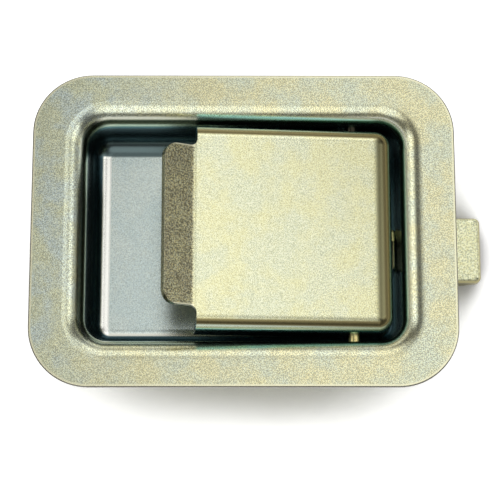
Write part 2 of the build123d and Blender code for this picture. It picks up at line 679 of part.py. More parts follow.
def make_paddle_spring(side):
    """A torsion spring on the pin, with a leg in the floor and a leg under the plate."""
    wire = PADDLE_SPRING_WIRE
    radius = PADDLE_SPRING_MEAN_D / 2
    quarters = 4 * PADDLE_SPRING_TURNS + 1
    climb = PADDLE_SPRING_PITCH / (2 * pi)
    stations = [(0, 0.0, 0.0)]
    for quarter in range(1, quarters):
        stations.append((quarter, PADDLE_SPRING_PITCH * quarter / 4, climb))
    leg_turn = (PADDLE_TILT - PADDLE_SPRING_LEG_RISE) / 90
    stations.append((quarters + leg_turn, PADDLE_SPRING_PITCH * quarters / 4, 0.0))
    drop = PIN_Z - FLOOR_BACK_Z + SPRING_LEG_PAST_FLOOR
    path = coil_path(radius, stations, drop, PADDLE_SPRING_LEG)
    if side < 0:
        print("paddle spring least gap between turns, mm:",
              round(least_gap(path, wire, 2 * pi * radius), 3))
    coil = wire_along(path, wire)
    place = Plane(origin=(PIN_X, -PADDLE_SPRING_OUTER_Y, PIN_Z),
                  x_dir=(-1, 0, 0), z_dir=(0, 1, 0))
    spring = place.location * coil
    return spring if side < 0 else mirror(spring, about=Plane.XZ)


NODES = {
    "pan": make_pan(),
    "mounting_studs": make_studs(),
    "pivot_pin": make_pin(),
    "pin_retainer": make_retainer(),
    "paddle": make_paddle(),
    "bolt": make_bolt(),
    "bolt_housing": make_housing(),
    "housing_rivets": make_rivets(),
    "spring_guide_rod": make_rod(),
    "bolt_spring": make_bolt_spring(),
    "paddle_spring_upper": make_paddle_spring(1),
    "paddle_spring_lower": make_paddle_spring(-1),
}

os.makedirs("parts", exist_ok=True)
for name, shape in NODES.items():
    export_step(shape, f"parts/{name}.step")
print("bolt travel, mm:", round(BOLT_TRAVEL, 3))
print("bolt travel per radian of the paddle, mm:", round(BOLT_PER_RADIAN, 3))
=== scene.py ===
# %% [markdown]
# # A flush paddle latch, dressed for its picture
#
# The latch is a drawn steel pan with a stamped paddle in it. Lifting the paddle's lip
# swings it on a pin, and its tongue draws a sprung bolt back.
# The shapes come from the CAD frame, which is exact, so this lesson is mostly about
# finish: thin zinc plating whose colour drifts from silver to straw and to blue.
# Blender's lengths are metres, so a size in millimetres is multiplied by MM. X runs
# towards the bolt, Y runs up the face, Z points out of it.

# %% Load the frame
from math import cos, pi, radians, sin
import bpy
from mathutils import Matrix, Vector


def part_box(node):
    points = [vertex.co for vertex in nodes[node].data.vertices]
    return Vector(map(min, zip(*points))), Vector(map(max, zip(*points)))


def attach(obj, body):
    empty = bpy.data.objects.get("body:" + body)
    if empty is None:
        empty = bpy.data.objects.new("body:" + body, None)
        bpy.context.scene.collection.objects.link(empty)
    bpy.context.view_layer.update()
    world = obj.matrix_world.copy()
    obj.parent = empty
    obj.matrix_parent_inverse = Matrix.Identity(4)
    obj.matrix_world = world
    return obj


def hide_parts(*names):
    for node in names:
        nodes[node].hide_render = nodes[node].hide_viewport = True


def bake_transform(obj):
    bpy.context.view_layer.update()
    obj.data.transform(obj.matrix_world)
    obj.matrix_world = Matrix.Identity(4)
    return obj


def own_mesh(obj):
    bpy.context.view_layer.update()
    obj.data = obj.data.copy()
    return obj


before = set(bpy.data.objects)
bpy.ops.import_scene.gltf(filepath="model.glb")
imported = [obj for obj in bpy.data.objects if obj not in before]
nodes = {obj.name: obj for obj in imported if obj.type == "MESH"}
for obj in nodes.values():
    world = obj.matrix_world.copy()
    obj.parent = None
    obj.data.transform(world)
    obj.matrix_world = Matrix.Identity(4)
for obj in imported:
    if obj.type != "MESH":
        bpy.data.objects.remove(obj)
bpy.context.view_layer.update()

MM = 0.001
print("CAD nodes:", ", ".join(sorted(nodes)))

# %% [markdown]
# ## The camera
#
# The picture was taken from in front and a little below, through a long lens. A camera
# could be placed by eye. This one was worked out: the flange's four edges are straight
# lines of known length, and one place and lens puts all four where the picture has them.
# It looks at a point on the flange's front, 1.5 mm above the frame's zero.

# %% Camera
LOOK_AT = Vector((1.777, -6.372, 1.5)) * MM
CAMERA_DISTANCE = 479.587 * MM
CAMERA_LENS = 122.4
SENSOR_WIDTH = 36
CAMERA_TURNS = {"Z": 0.00078, "X": -0.21571, "Y": 0.00712}
turn = Matrix.Identity(3)
for axis, radians_round in CAMERA_TURNS.items():
    turn = turn @ Matrix.Rotation(radians_round, 3, axis)
camera_data = bpy.data.cameras.new("camera")
camera_data.lens = CAMERA_LENS
camera_data.sensor_width = SENSOR_WIDTH
camera_data.clip_start = 10 * MM
camera = bpy.data.objects.new("camera", camera_data)
bpy.context.scene.collection.objects.link(camera)
place = LOOK_AT + turn.transposed() @ Vector((0, 0, CAMERA_DISTANCE))
camera.matrix_world = Matrix.Translation(place) @ turn.transposed().to_4x4()
bpy.context.scene.camera = camera
print("camera at", [round(v / MM, 1) for v in place], "mm")

# %% [markdown]
# ## Light, floor and background
#
# Satin metal shows what is around it, so the light is chosen by what the flange, the
# plate and the rolled edges show. Lamps on stands could do it, but a lamp gets into the
# picture from some other side. So six round soft lights are painted into the world,
# where they have a direction and no place: one near the middle, one towards the viewer,
# one at the far side, one low at the finger end, and two at the bolt end.

# %% Helpers for node trees
def new_material(name):
    material = bpy.data.materials.new(name)
    material.use_nodes = True
    material.node_tree.nodes.clear()
    return material, material.node_tree


def add(tree, kind, at, **settings):
    """A new node in a tree, at a column and a row, with its settings."""
    node = tree.nodes.new(kind)
    node.location = (at[0] * 180, at[1] * -160)
    for name, value in settings.items():
        setattr(node, name, value)
    return node


def calculate(tree, at, operation, *values):
    """A Math node. Each value is a number or another node's output."""
    node = add(tree, "ShaderNodeMath", at, operation=operation)
    for socket, value in zip(node.inputs, values):
        if hasattr(value, "is_linked"):
            tree.links.new(value, socket)
        else:
            socket.default_value = value
    return node.outputs[0]


def ramp(tree, at, value, low, high, to_low=0.0, to_high=1.0):
    """A smooth change from to_low to to_high as the value goes from low to high."""
    node = add(tree, "ShaderNodeMapRange", at, interpolation_type="SMOOTHSTEP")
    tree.links.new(value, node.inputs["Value"])
    node.inputs["From Min"].default_value = low
    node.inputs["From Max"].default_value = high
    node.inputs["To Min"].default_value = to_low
    node.inputs["To Max"].default_value = to_high
    return node.outputs["Result"]


print("helpers for node trees are ready")

# %% Soft lights in the sky
SKY_LIGHT = 0.11
# Each soft light: degrees from straight up, degrees round from the bolt, the radius of
# its full part and the width of its fading rim in degrees, and its radiance.
SOFT_LIGHTS = {
    "overhead": (10.2, 57, 9.7, 8, 1.02),
    "viewer_side": (29, 256, 16, 12, 1.30),
    "far_side": (44, 86, 12, 15, 1.20),
    "finger_end": (55, 169, 7, 16, 1.55),
    "bolt_end": (36, 8, 9, 9, 1.50),
    "bolt_end_low": (58, 5, 8, 10, 0.42),
}
world = bpy.data.worlds.new("studio")
bpy.context.scene.world = world
world.use_nodes = True
sky = world.node_tree
way = add(sky, "ShaderNodeTexCoord", (-6, 0)).outputs["Generated"]
brightness = SKY_LIGHT
for row, (name, (down, turned, full, rim, radiance)) in enumerate(SOFT_LIGHTS.items()):
    near = add(sky, "ShaderNodeVectorMath", (-5, row), operation="DOT_PRODUCT", label=name)
    sky.links.new(way, near.inputs[0])
    near.inputs[1].default_value = (sin(radians(down)) * cos(radians(turned)),
                                    sin(radians(down)) * sin(radians(turned)),
                                    cos(radians(down)))
    angle = calculate(sky, (-4, row), "ARCCOSINE", near.outputs["Value"])
    spot = ramp(sky, (-3, row), angle, radians(full), radians(full + rim), radiance, 0.0)
    brightness = calculate(sky, (-2, row), "ADD", spot, brightness)
print("soft lights in the sky:", ", ".join(SOFT_LIGHTS))

# %% [markdown]
# To the camera the background is white. Metal has to mirror that background too, or it
# turns brown when it is seen from low down, so reflections meet the same white at the
# horizon. It fades out higher up, where the soft lights are.

# %% White background
WHITE_BELOW = radians(8)
PLAIN_ABOVE = radians(30)
up_down = add(sky, "ShaderNodeSeparateXYZ", (-5, -1))
sky.links.new(way, up_down.inputs[0])
low_down = ramp(sky, (-4, -1), up_down.outputs["Z"], sin(WHITE_BELOW), sin(PLAIN_ABOVE),
                1.0, 0.0)
ray = add(sky, "ShaderNodeLightPath", (-4, -2))
mirrored = calculate(sky, (-3, -1), "MULTIPLY", low_down, ray.outputs["Is Glossy Ray"])
seen = calculate(sky, (-2, -1), "MAXIMUM", mirrored, ray.outputs["Is Camera Ray"])
brightness = calculate(sky, (-1, 0), "MAXIMUM", brightness, seen)
background = sky.nodes["Background"]
background.inputs["Color"].default_value = (1, 1, 1, 1)
sky.links.new(brightness, background.inputs["Strength"])
bpy.context.scene.view_settings.view_transform = "Standard"
print("the sky has", len(sky.nodes), "nodes")

# %% [markdown]
# ### The floor
#
# The latch lies on its back on white paper, so the floor touches the housing. Light
# enough to make paper white would burn out the metal. So the paper gives off light of
# its own, to the camera and in reflections only. Close to the latch, where an ambient
# occlusion node finds less open sky, that light dims, and the floor keeps its shadow.

# %% Floor shape
FLOOR_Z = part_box("bolt_housing")[0].z
HALF_FLOOR = 3.0
floor_mesh = bpy.data.meshes.new("floor")
corners = [(-HALF_FLOOR, -HALF_FLOOR, FLOOR_Z), (HALF_FLOOR, -HALF_FLOOR, FLOOR_Z),
           (HALF_FLOOR, HALF_FLOOR, FLOOR_Z), (-HALF_FLOOR, HALF_FLOOR, FLOOR_Z)]
floor_mesh.from_pydata(corners, [], [(0, 1, 2, 3)])
floor = bpy.data.objects.new("floor", floor_mesh)
bpy.context.scene.collection.objects.link(floor)
print("floor at", round(FLOOR_Z / MM, 2), "mm")

# %% Floor paper
PAPER_COLOUR = (0.9, 0.9, 0.9, 1)
PAPER_GLOW = 0.86
SHADOW_REACH = 40 * MM
SHADOW_SAMPLES = 16
FULL_SHADOW, NO_SHADOW = 0.56, 0.88
paper, tree = new_material("paper_floor")
diffuse = add(tree, "ShaderNodeBsdfDiffuse", (1, 0))
diffuse.inputs["Color"].default_value = PAPER_COLOUR
glow = add(tree, "ShaderNodeEmission", (1, 1))
ray = add(tree, "ShaderNodeLightPath", (-2, 1))
either = calculate(tree, (-1, 1), "MAXIMUM", ray.outputs["Is Camera Ray"],
                   ray.outputs["Is Glossy Ray"])
openness = add(tree, "ShaderNodeAmbientOcclusion", (-2, 2))
openness.samples = SHADOW_SAMPLES
openness.inputs["Distance"].default_value = SHADOW_REACH
open_share = ramp(tree, (-1, 2), openness.outputs["AO"], FULL_SHADOW, NO_SHADOW,
                  0.0, PAPER_GLOW)
share = calculate(tree, (0, 1), "MULTIPLY", either, open_share)
total = add(tree, "ShaderNodeAddShader", (2, 0))
output = add(tree, "ShaderNodeOutputMaterial", (3, 0))
tree.links.new(share, glow.inputs["Strength"])
tree.links.new(diffuse.outputs[0], total.inputs[0])
tree.links.new(glow.outputs[0], total.inputs[1])
tree.links.new(total.outputs[0], output.inputs["Surface"])
floor_mesh.materials.append(paper)
print("floor dressed in", paper.name)

# %% [markdown]
# ## Effects that several finishes share
#
# Zinc plating is a film a few thousandths of a millimetre thick, and its colour comes
# from the passivation on top. Every piece here has some of it, so each effect is a node
# group with named inputs, made once, and each finish uses it with values of its own.

# %% Helpers for node groups
KINDS = {"colour": "NodeSocketColor", "value": "NodeSocketFloat"}


def new_group(name, takes, gives):
    """An empty node group with named inputs and outputs."""
    group = bpy.data.node_groups.new(name, "ShaderNodeTree")
    for label, what, value in takes:
        socket = group.interface.new_socket(name=label, in_out="INPUT", socket_type=KINDS[what])
        socket.default_value = value
    for label, what in gives:
        group.interface.new_socket(name=label, in_out="OUTPUT", socket_type=KINDS[what])
    return group, group.nodes.new("NodeGroupInput"), group.nodes.new("NodeGroupOutput")


def blend_colours(tree, at, factor, a, b, mode="MIX"):
    """A Mix node for colours. Each of a and b is a colour or another node's output."""
    mix = add(tree, "ShaderNodeMix", at, data_type="RGBA", blend_type=mode)
    tree.links.new(factor, mix.inputs[0])
    for socket, value in ((6, a), (7, b)):
        if hasattr(value, "is_linked"):
            tree.links.new(value, mix.inputs[socket])
        else:
            mix.inputs[socket].default_value = value
    return mix.outputs[2]


def blend_heights(tree, at, factor, a, b):
    """A Mix node for values, each from another node's output."""
    mix = add(tree, "ShaderNodeMix", at, data_type="FLOAT")
    for socket, value in ((0, factor), (2, a), (3, b)):
        tree.links.new(value, mix.inputs[socket])
    return mix.outputs[0]


def noise(tree, at, where, scale, detail=2.0, roughness=0.5):
    node = add(tree, "ShaderNodeTexNoise", at)
    tree.links.new(where, node.inputs["Vector"])
    tree.links.new(scale, node.inputs["Scale"])
    node.inputs["Detail"].default_value = detail
    node.inputs["Roughness"].default_value = roughness
    return node


print("helpers for node groups are ready")

# %% [markdown]
# ### Plating colour
#
# The film drifts from silver to straw in soft clouds, a few millimetres across, and
# close up it is speckled: grains a third of a millimetre across, each a little lighter
# or darker and a little warmer or cooler than the cloud it lies in. A picture of real
# plating could give this. Noise gives it too, on every face alike, with no seams.

# %% Plating film
CLOUD_EDGES = (0.36, 0.66)
GRAIN_EDGES = (0.40, 0.60)
HUE_EDGES = (0.35, 0.65)
COOL_GRAIN, WARM_GRAIN = (0.90, 0.99, 1.14, 1), (1.08, 1.02, 0.84, 1)
DARK_GRAIN, LIGHT_GRAIN = (0.30, 0.30, 0.30, 1), (1.70, 1.70, 1.70, 1)
film, take, give = new_group(
    "plating_film",
    [("First", "colour", (0.7, 0.7, 0.6, 1)), ("Second", "colour", (0.6, 0.6, 0.6, 1)),
     ("Cloud Scale", "value", 60.0), ("Speckle Scale", "value", 3500.0),
     ("Speckle", "value", 0.3)],
    [("Color", "colour")],
)
where = add(film, "ShaderNodeTexCoord", (-4, 0)).outputs["Object"]
clouds = noise(film, (-3, 0), where, take.outputs["Cloud Scale"], 3.0, 0.55)
cloud_share = ramp(film, (-2, 0), clouds.outputs["Fac"], *CLOUD_EDGES)
base = blend_colours(film, (-1, 0), cloud_share, take.outputs["First"], take.outputs["Second"])
grains = noise(film, (-3, 2), where, take.outputs["Speckle Scale"], 2.0, 0.6)
split = add(film, "ShaderNodeSeparateColor", (-2, 2))
film.links.new(grains.outputs["Color"], split.inputs["Color"])
light_grain = ramp(film, (-1, 3), split.outputs["Red"], *GRAIN_EDGES)
hue_grain = ramp(film, (-1, 4), split.outputs["Green"], *HUE_EDGES)
tints = blend_colours(film, (0, 4), hue_grain, COOL_GRAIN, WARM_GRAIN)
levels = blend_colours(film, (0, 3), light_grain, DARK_GRAIN, LIGHT_GRAIN)
speckled = blend_colours(film, (1, 2), take.outputs["Speckle"], base, tints, "MULTIPLY")
speckled = blend_colours(film, (2, 2), take.outputs["Speckle"], speckled, levels, "MULTIPLY")
film.links.new(speckled, give.inputs["Color"])
print("plating_film has", len(film.nodes), "nodes")

# %% [markdown]
# ### Grain and coarse skin
#
# The sheet's satin is a very fine relief, and a bump makes it, because cut into the mesh
# it would need millions of faces. Where the metal was tumbled or cast the relief is
# coarser, with pits, so that skin is a second group. It also gives a mask of the pits,
# where the film can be darker.

# %% Satin grain
grain, take, give = new_group(
    "satin_grain",
    [("Scale", "value", 3000.0), ("Coarse Scale", "value", 700.0), ("Coarse", "value", 0.3)],
    [("Height", "value")],
)
where = add(grain, "ShaderNodeTexCoord", (-4, 0)).outputs["Object"]
fine = noise(grain, (-3, 0), where, take.outputs["Scale"], 2.0, 0.6)
broad = noise(grain, (-3, 1), where, take.outputs["Coarse Scale"])
height = blend_heights(grain, (-1, 0), take.outputs["Coarse"],
                       fine.outputs["Fac"], broad.outputs["Fac"])
grain.links.new(height, give.inputs["Height"])
print("satin_grain has", len(grain.nodes), "nodes")

# %% Pitted skin
PIT_MIDDLE, PIT_RIM = 0.05, 0.42
skin, take, give = new_group(
    "pitted_skin",
    [("Scale", "value", 1500.0), ("Pits", "value", 0.5)],
    [("Height", "value"), ("Pit Mask", "value")],
)
where = add(skin, "ShaderNodeTexCoord", (-4, 0)).outputs["Object"]
lumps = noise(skin, (-3, 0), where, take.outputs["Scale"], 3.0, 0.65)
holes = add(skin, "ShaderNodeTexVoronoi", (-3, 1))
skin.links.new(where, holes.inputs["Vector"])
skin.links.new(take.outputs["Scale"], holes.inputs["Scale"])
pit = ramp(skin, (-2, 1), holes.outputs["Distance"], PIT_MIDDLE, PIT_RIM, 1.0, 0.0)
pit_share = calculate(skin, (-1, 1), "MULTIPLY", pit, take.outputs["Pits"])
height = calculate(skin, (0, 0), "SUBTRACT", lumps.outputs["Fac"], pit_share)
skin.links.new(height, give.inputs["Height"])
skin.links.new(pit_share, give.inputs["Pit Mask"])
print("pitted_skin has", len(skin.nodes), "nodes")

# %% [markdown]
# ### Where a finish changes
#
# A film on a bright metal changes colour as the sheet bends away: straw turns to olive,
# then to blue. That could be worked out from the film's thickness and the angle. But the
# colours of this plating are known from the picture, and each bend lies at its own
# depth. So a mask by depth, in the piece's own coordinates, puts each colour on its bend.
# The same masks also paint light: lighter bands are painted highlights and reflections,
# and darker ones are painted shade.

# %% Zones by place
def zone(tree, at, direction, low, high):
    """A mask that rises from 0 to 1 between two distances in millimetres."""
    where = add(tree, "ShaderNodeTexCoord", at).outputs["Object"]
    along = add(tree, "ShaderNodeVectorMath", (at[0] + 1, at[1]), operation="DOT_PRODUCT")
    tree.links.new(where, along.inputs[0])
    along.inputs[1].default_value = direction
    return ramp(tree, (at[0] + 2, at[1]), along.outputs["Value"], low * MM, high * MM)


def paint_bends(tree, at, colour, direction, start, bends):
    """Lays tint after tint over a colour, each from its own depth past the start."""
    for row, (begins, ends, tint) in enumerate(bends.values()):
        depth = zone(tree, (at[0], at[1] + row), direction, start + begins, start + ends)
        colour = blend_colours(tree, (at[0] + 3, at[1] + row), depth, colour, tint)
    return colour


print("zones are ready")


# %% The parts of every plated finish
def use(tree, group, at, **values):
    """A node group placed in a finish, with values of its own."""
    node = add(tree, "ShaderNodeGroup", at, node_tree=group)
    for name, value in values.items():
        node.inputs[name.replace("_", " ")].default_value = value
    return node


def plated(name, roughness, bump_mm):
    """One metal shader and one bump, which still need a colour and a height."""
    material, tree = new_material(name)
    shader = add(tree, "ShaderNodeBsdfPrincipled", (3, 0))
    shader.inputs["Metallic"].default_value = 1.0
    shader.inputs["Roughness"].default_value = roughness
    bump = add(tree, "ShaderNodeBump", (2, 3))
    bump.inputs["Strength"].default_value = 1.0
    bump.inputs["Distance"].default_value = bump_mm * MM
    output = add(tree, "ShaderNodeOutputMaterial", (4, 0))
    tree.links.new(bump.outputs["Normal"], shader.inputs["Normal"])
    tree.links.new(shader.outputs[0], output.inputs["Surface"])
    return material, tree, shader, bump


print("plated finishes can be made")

# %% [markdown]
# The flange is dark along its outer edge, and just inside that edge runs a bright line.
# A mask painted by hand could follow them. Here both follow the outline by rule: it is a
# rectangle with round corners, so a group measures how far a point lies outside or inside it.

# %% Distance from a rounded outline
outline, take, give = new_group(
    "outline_distance",
    [("Half X", "value", 0.06), ("Half Y", "value", 0.045), ("Corner", "value", 0.017)],
    [("Distance", "value")],
)
where = add(outline, "ShaderNodeTexCoord", (-6, 0)).outputs["Object"]
parts = add(outline, "ShaderNodeSeparateXYZ", (-5, 0))
outline.links.new(where, parts.inputs[0])
past = []
for row, axis in enumerate("XY"):
    side = calculate(outline, (-4, row), "ABSOLUTE", parts.outputs[axis])
    side = calculate(outline, (-3, row), "SUBTRACT", side, take.outputs["Half " + axis])
    past.append(calculate(outline, (-2, row), "ADD", side, take.outputs["Corner"]))
outer = [calculate(outline, (-1, row), "MAXIMUM", side, 0.0) for row, side in enumerate(past)]
squares = [calculate(outline, (0, row), "POWER", side, 2.0) for row, side in enumerate(outer)]
away = calculate(outline, (2, 0), "SQRT", calculate(outline, (1, 0), "ADD", *squares))
farther = calculate(outline, (0, 2), "MAXIMUM", *past)
inner = calculate(outline, (1, 1), "MINIMUM", farther, 0.0)
away = calculate(outline, (3, 0), "ADD", away, inner)
distance = calculate(outline, (4, 0), "SUBTRACT", away, take.outputs["Corner"])
outline.links.new(distance, give.inputs["Distance"])
print("outline_distance has", len(outline.nodes), "nodes")

# %% [markdown]
# ## The pan
#
# The flange is silver straw, greyer at the end away from the bolt. Round the mouth the
# film turns olive, green and then blue, and the floor is blue grey. Light and shade are
# painted into these bands: the walls are darkened with painted shade, and the roll and
# the foot of the wall carry painted highlights.
# Depths are counted from the flange's back, 1.5 mm under its front.

# %% Pan films
pan_finish, tree, shader, bump = plated("pan_plating", roughness=0.25, bump_mm=0.012)
flange_film = use(tree, film, (-3, 0), First=(0.72, 0.69, 0.44, 1),
                  Second=(0.64, 0.67, 0.51, 1), Cloud_Scale=110.0, Speckle=0.42)
greyer_film = use(tree, film, (-3, 2), First=(0.68, 0.70, 0.50, 1),
                  Second=(0.62, 0.69, 0.62, 1), Cloud_Scale=130.0, Speckle=0.46)
floor_film = use(tree, film, (-3, 4), First=(0.63, 0.70, 0.65, 1),
                 Second=(0.58, 0.67, 0.64, 1), Cloud_Scale=90.0, Speckle=0.22)
GREYER_TOWARDS = (-1, 0.25, 0)
grey_end = zone(tree, (-6, 6), GREYER_TOWARDS, 18, 56)
colour = blend_colours(tree, (-2, 1), grey_end, flange_film.outputs["Color"],
                       greyer_film.outputs["Color"])
print("films of the pan:", flange_film.node_tree.name, "three times")

# %% Mouth, walls and floor of the pan
INWARDS = (0, 0, -1)
# Each band's hue is the film's. Its lightness is painted light: the pale roll start is partly a
# painted highlight, the dark olive band is painted shade, the bright green line is a painted
# reflection, the blue and the dark wall are painted shade, and the light foot of the wall is a
# painted highlight.
PAN_BENDS_AND_PAINTED_LIGHT = {
    "roll begins, partly painted highlight": (0.1, 0.4, (0.80, 0.82, 0.68, 1)),
    "olive": (0.9, 1.5, (0.24, 0.27, 0.17, 1)),
    "green": (2.2, 3.0, (0.52, 0.62, 0.50, 1)),
    "blue": (3.6, 4.6, (0.17, 0.35, 0.38, 1)),
    "painted shade on the wall": (4.8, 6.5, (0.07, 0.13, 0.15, 1)),
    "painted highlight at the wall's foot": (15.95, 16.15, (0.62, 0.62, 0.54, 1)),
}
colour = paint_bends(tree, (-6, 7), colour, INWARDS, 0, PAN_BENDS_AND_PAINTED_LIGHT)
well_floor = zone(tree, (-6, 13), INWARDS, 16.25, 16.45)
colour = blend_colours(tree, (0, 1), well_floor, colour, floor_film.outputs["Color"])
print("bends of the pan:", ", ".join(PAN_BENDS_AND_PAINTED_LIGHT))

# %% [markdown]
# Where the walls run into the floor, the bend at the far side is darkened with painted
# shade, and the bend at the finger end is lit with a painted highlight. Each has a mask of
# its own, a depth times a place.

# %% Bends round the well's floor
FAR_SIDE, FINGER_END = (0, 1, 0), (-1, 0, 0)
# Painted shade for the far bend, and a painted highlight for the bend at the finger end.
FAR_BEND_PAINTED_SHADE, FINGER_BEND_PAINTED_HIGHLIGHT = (0.10, 0.14, 0.14, 1), (0.95, 0.95, 0.88, 1)
sunk = zone(tree, (-6, 17), INWARDS, 14.0, 15.0)
far_bend_shade = zone(tree, (-6, 18), FAR_SIDE, 25.4, 26.1)
far_bend_shade = calculate(tree, (-2, 17), "MULTIPLY", sunk, far_bend_shade)
colour = blend_colours(tree, (0, 2), far_bend_shade, colour, FAR_BEND_PAINTED_SHADE)
low_bend = zone(tree, (-6, 19), INWARDS, 16.08, 16.25)
finger_bend_highlight = zone(tree, (-6, 20), FINGER_END, 38.8, 39.4)
finger_bend_highlight = calculate(tree, (-2, 19), "MULTIPLY", low_bend, finger_bend_highlight)
not_far = calculate(tree, (-2, 20), "SUBTRACT", 1.0, far_bend_shade)
finger_bend_highlight = calculate(tree, (-1, 19), "MULTIPLY", finger_bend_highlight, not_far)
colour = blend_colours(tree, (0, 3), finger_bend_highlight, colour, FINGER_BEND_PAINTED_HIGHLIGHT)
print("the well's floor has two bends of their own")

# %% [markdown]
# A mask by depth goes through the sheet, so it would colour the back of the pan as well.
# The back's faces look away from the user, which their normal tells, and they keep the
# flange's film. Last come the two lines along the flange's outline.

# %% Back and edge of the pan
FACING_EDGE = 0.03
FLANGE_OUTLINE = {"Half_X": 60.325 * MM, "Half_Y": 45.25 * MM, "Corner": 17 * MM}
# A bright line just inside the flange's outline, and a dark line at the edge itself.
BRIGHT_EDGE_LINE, DARK_EDGE_LINE = (0.90, 0.88, 0.62, 1), (0.13, 0.12, 0.10, 1)
facing = add(tree, "ShaderNodeTexCoord", (-5, 16)).outputs["Normal"]
facing_up = add(tree, "ShaderNodeSeparateXYZ", (-4, 16))
tree.links.new(facing, facing_up.inputs[0])
front = ramp(tree, (-3, 16), facing_up.outputs["Z"], -FACING_EDGE, FACING_EDGE)
colour = blend_colours(tree, (1, 2), front, flange_film.outputs["Color"], colour)
edge = use(tree, outline, (-3, 14), **FLANGE_OUTLINE).outputs["Distance"]
bright_line = ramp(tree, (-2, 14), edge, -1.0 * MM, -0.55 * MM)
colour = blend_colours(tree, (1, 1), bright_line, colour, BRIGHT_EDGE_LINE)
dark_line = ramp(tree, (-2, 15), edge, -0.34 * MM, -0.22 * MM)
colour = blend_colours(tree, (2, 1), dark_line, colour, DARK_EDGE_LINE)
tree.links.new(colour, shader.inputs["Base Color"])
satin = use(tree, grain, (0, 4), Scale=3200.0, Coarse_Scale=900.0, Coarse=0.3)
tree.links.new(satin.outputs["Height"], bump.inputs["Height"])
nodes["pan"].data.materials[0] = pan_finish
print("pan dressed in", pan_finish.name)

# %% [markdown]
# ## The paddle
#
# Its plate is cream and satin. Round its bends the film is deep olive, and blue on the
# skirt, and light is painted in there: the olive bend, the bend at the bolt end and the
# dark skirt carry painted shade, and a bright blue line is a painted reflection. The lip
# was tumbled after stamping, so it is coarse. Its darker brown is painted shade, because
# it faces away from the light, and its bright rim is a painted highlight. A material for
# each face would leave hard lines at the bends, so one material has zones. The plate is
# tilted, so they are measured square to it, from the pin.

# %% Paddle plate and skirt
PIN_X, PIN_Z = 31.4, -6.0
PADDLE_TILT = 5.6
PLATE_TOP_OVER_PIN = 7.5
PIN = Vector((PIN_X, 0, PIN_Z))
along = Vector((cos(radians(PADDLE_TILT)), 0, -sin(radians(PADDLE_TILT))))
up = Vector((sin(radians(PADDLE_TILT)), 0, cos(radians(PADDLE_TILT))))
# Each band's hue is the film's, and its lightness is painted light: the olive bend and the dark
# skirt are painted shade, and the bright blue line is a painted reflection.
PADDLE_BENDS_AND_PAINTED_LIGHT = {
    "olive": (0.05, 0.3, (0.26, 0.22, 0.10, 1)),
    "silver": (0.9, 1.3, (0.50, 0.57, 0.46, 1)),
    "blue": (2.0, 2.8, (0.42, 0.80, 0.84, 1)),
    "painted shade on the skirt": (4.2, 5.4, (0.09, 0.14, 0.15, 1)),
}
BOLT_END_PAINTED_SHADE = (0.20, 0.19, 0.10, 1)
paddle_finish, tree, shader, bump = plated("paddle_plating", roughness=0.25, bump_mm=0.014)
plate_film = use(tree, film, (-3, 0), First=(0.93, 0.90, 0.54, 1),
                 Second=(0.84, 0.87, 0.61, 1), Cloud_Scale=120.0, Speckle=0.34)
# Painted shade on the plate's bend at the bolt end.
bolt_end_shade = zone(tree, (-6, 13), along, PIN.dot(along) + 4.6, PIN.dot(along) + 6.6)
colour = blend_colours(tree, (-1, 6), bolt_end_shade, plate_film.outputs["Color"],
                       BOLT_END_PAINTED_SHADE)
plate_top = PLATE_TOP_OVER_PIN + PIN.dot(up)
colour = paint_bends(tree, (-6, 3), colour, -up, -plate_top, PADDLE_BENDS_AND_PAINTED_LIGHT)
print("bends of the paddle:", ", ".join(PADDLE_BENDS_AND_PAINTED_LIGHT))

# %% Finger lip
PIN_TO_LIP_BEND = 45.4
LIP_LENGTH = 8.5
LIP_HALF_WIDTH = 23.0
LIP_RIM_HIGHLIGHT = (0.95, 0.92, 0.66, 1)
# The lip's film is darker and browner than the plate's. This is partly painted shade, because
# the lip faces away from the light, over a coarse speckle of its own.
coarse_film_and_shade = use(tree, film, (-3, 2), First=(0.49, 0.46, 0.28, 1),
                  Second=(0.42, 0.39, 0.25, 1), Cloud_Scale=200.0, Speckle_Scale=2500.0,
                  Speckle=0.8)
lip_bend = -PIN_TO_LIP_BEND + PIN.dot(along)
lip = zone(tree, (-6, 7), -along, -lip_bend + 0.2, -lip_bend + 1.5)
colour = blend_colours(tree, (0, 1), lip, colour, coarse_film_and_shade.outputs["Color"])
lip_end = -lip_bend + LIP_LENGTH
# The light line round the lip's end and sides is a painted highlight on its rounded edge.
rim = zone(tree, (-6, 10), -along, lip_end + 0.7, lip_end + 1.0)
for row, side in enumerate((1, -1)):
    flank = zone(tree, (-6, 11 + row), (0, side, 0), LIP_HALF_WIDTH - 0.5, LIP_HALF_WIDTH - 0.2)
    rim = calculate(tree, (-2, 11 + row), "MAXIMUM", rim, flank)
rim = calculate(tree, (-1, 11), "MULTIPLY", rim, lip)
colour = blend_colours(tree, (1, 1), rim, colour, LIP_RIM_HIGHLIGHT)
tree.links.new(colour, shader.inputs["Base Color"])
print("the lip is coarse from", round(-lip_bend, 1), "mm past the frame's zero")

# %% Paddle relief
satin = use(tree, grain, (-2, 8), Scale=3000.0, Coarse_Scale=800.0, Coarse=0.35)
pits = use(tree, skin, (-2, 9), Scale=1500.0, Pits=0.5)
relief = blend_heights(tree, (0, 8), lip, satin.outputs["Height"], pits.outputs["Height"])
tree.links.new(relief, bump.inputs["Height"])
nodes["paddle"].data.materials[0] = paddle_finish
print("paddle dressed in", paddle_finish.name)

# %% [markdown]
# ## The bolt
#
# The bolt is cast, and its skin shows it: small pits, and a golden film that is darker
# in them. Its front face is bright, and its sides are darkened with painted shade, so a
# zone begins just below the front face. Dents in the mesh would be too fine for the
# CAD's faces, so bump again.

